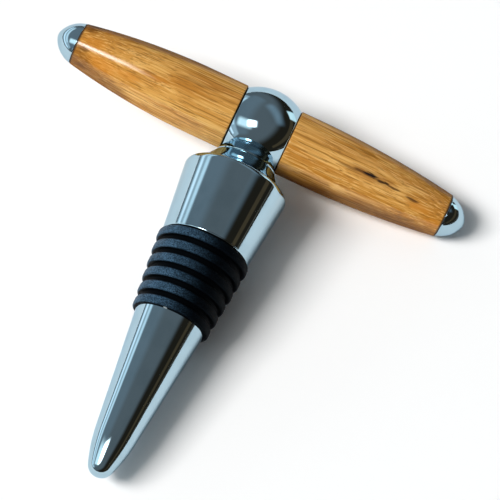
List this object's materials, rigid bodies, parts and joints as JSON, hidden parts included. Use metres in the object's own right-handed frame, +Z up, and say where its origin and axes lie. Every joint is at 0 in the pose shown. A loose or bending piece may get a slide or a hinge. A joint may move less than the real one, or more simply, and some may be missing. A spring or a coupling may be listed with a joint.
{
  "type": "bottle stopper",
  "caption": "T-handle bottle stopper with turned wooden grips; its chromed cone with a ribbed rubber sleeve unscrews from the handle and frees a corkscrew.",
  "frame": {"origin": "centre of the bounding box's underside, on the table that the stopper lies on", "axes": "+Z up from the table, -Y along the stopper towards its tip, +X along the handle towards the grip that touches the table"},
  "size_m": [0.097, 0.096, 0.026],
  "materials": {
    "chrome": "polished",
    "wood": "gloss lacquer",
    "brass": "plain",
    "steel": "satin",
    "rubber": "matte"
  },
  "bodies": {
    "stopper": {"stopper_cone": "chrome", "rubber_sleeve": "rubber"},
    "handle": {"hub": "chrome", "left_tube": "brass", "right_tube": "brass", "left_barrel": "wood", "right_barrel": "wood", "left_end_cap": "chrome", "right_end_cap": "chrome", "corkscrew_worm": "steel"}
  },
  "joints": [
    {"name": "handle_pull", "type": "slide", "parent": "stopper", "child": "handle", "axis": [0, 0.9967, 0.0807], "range_m": [0, 0.06]}
  ]
}
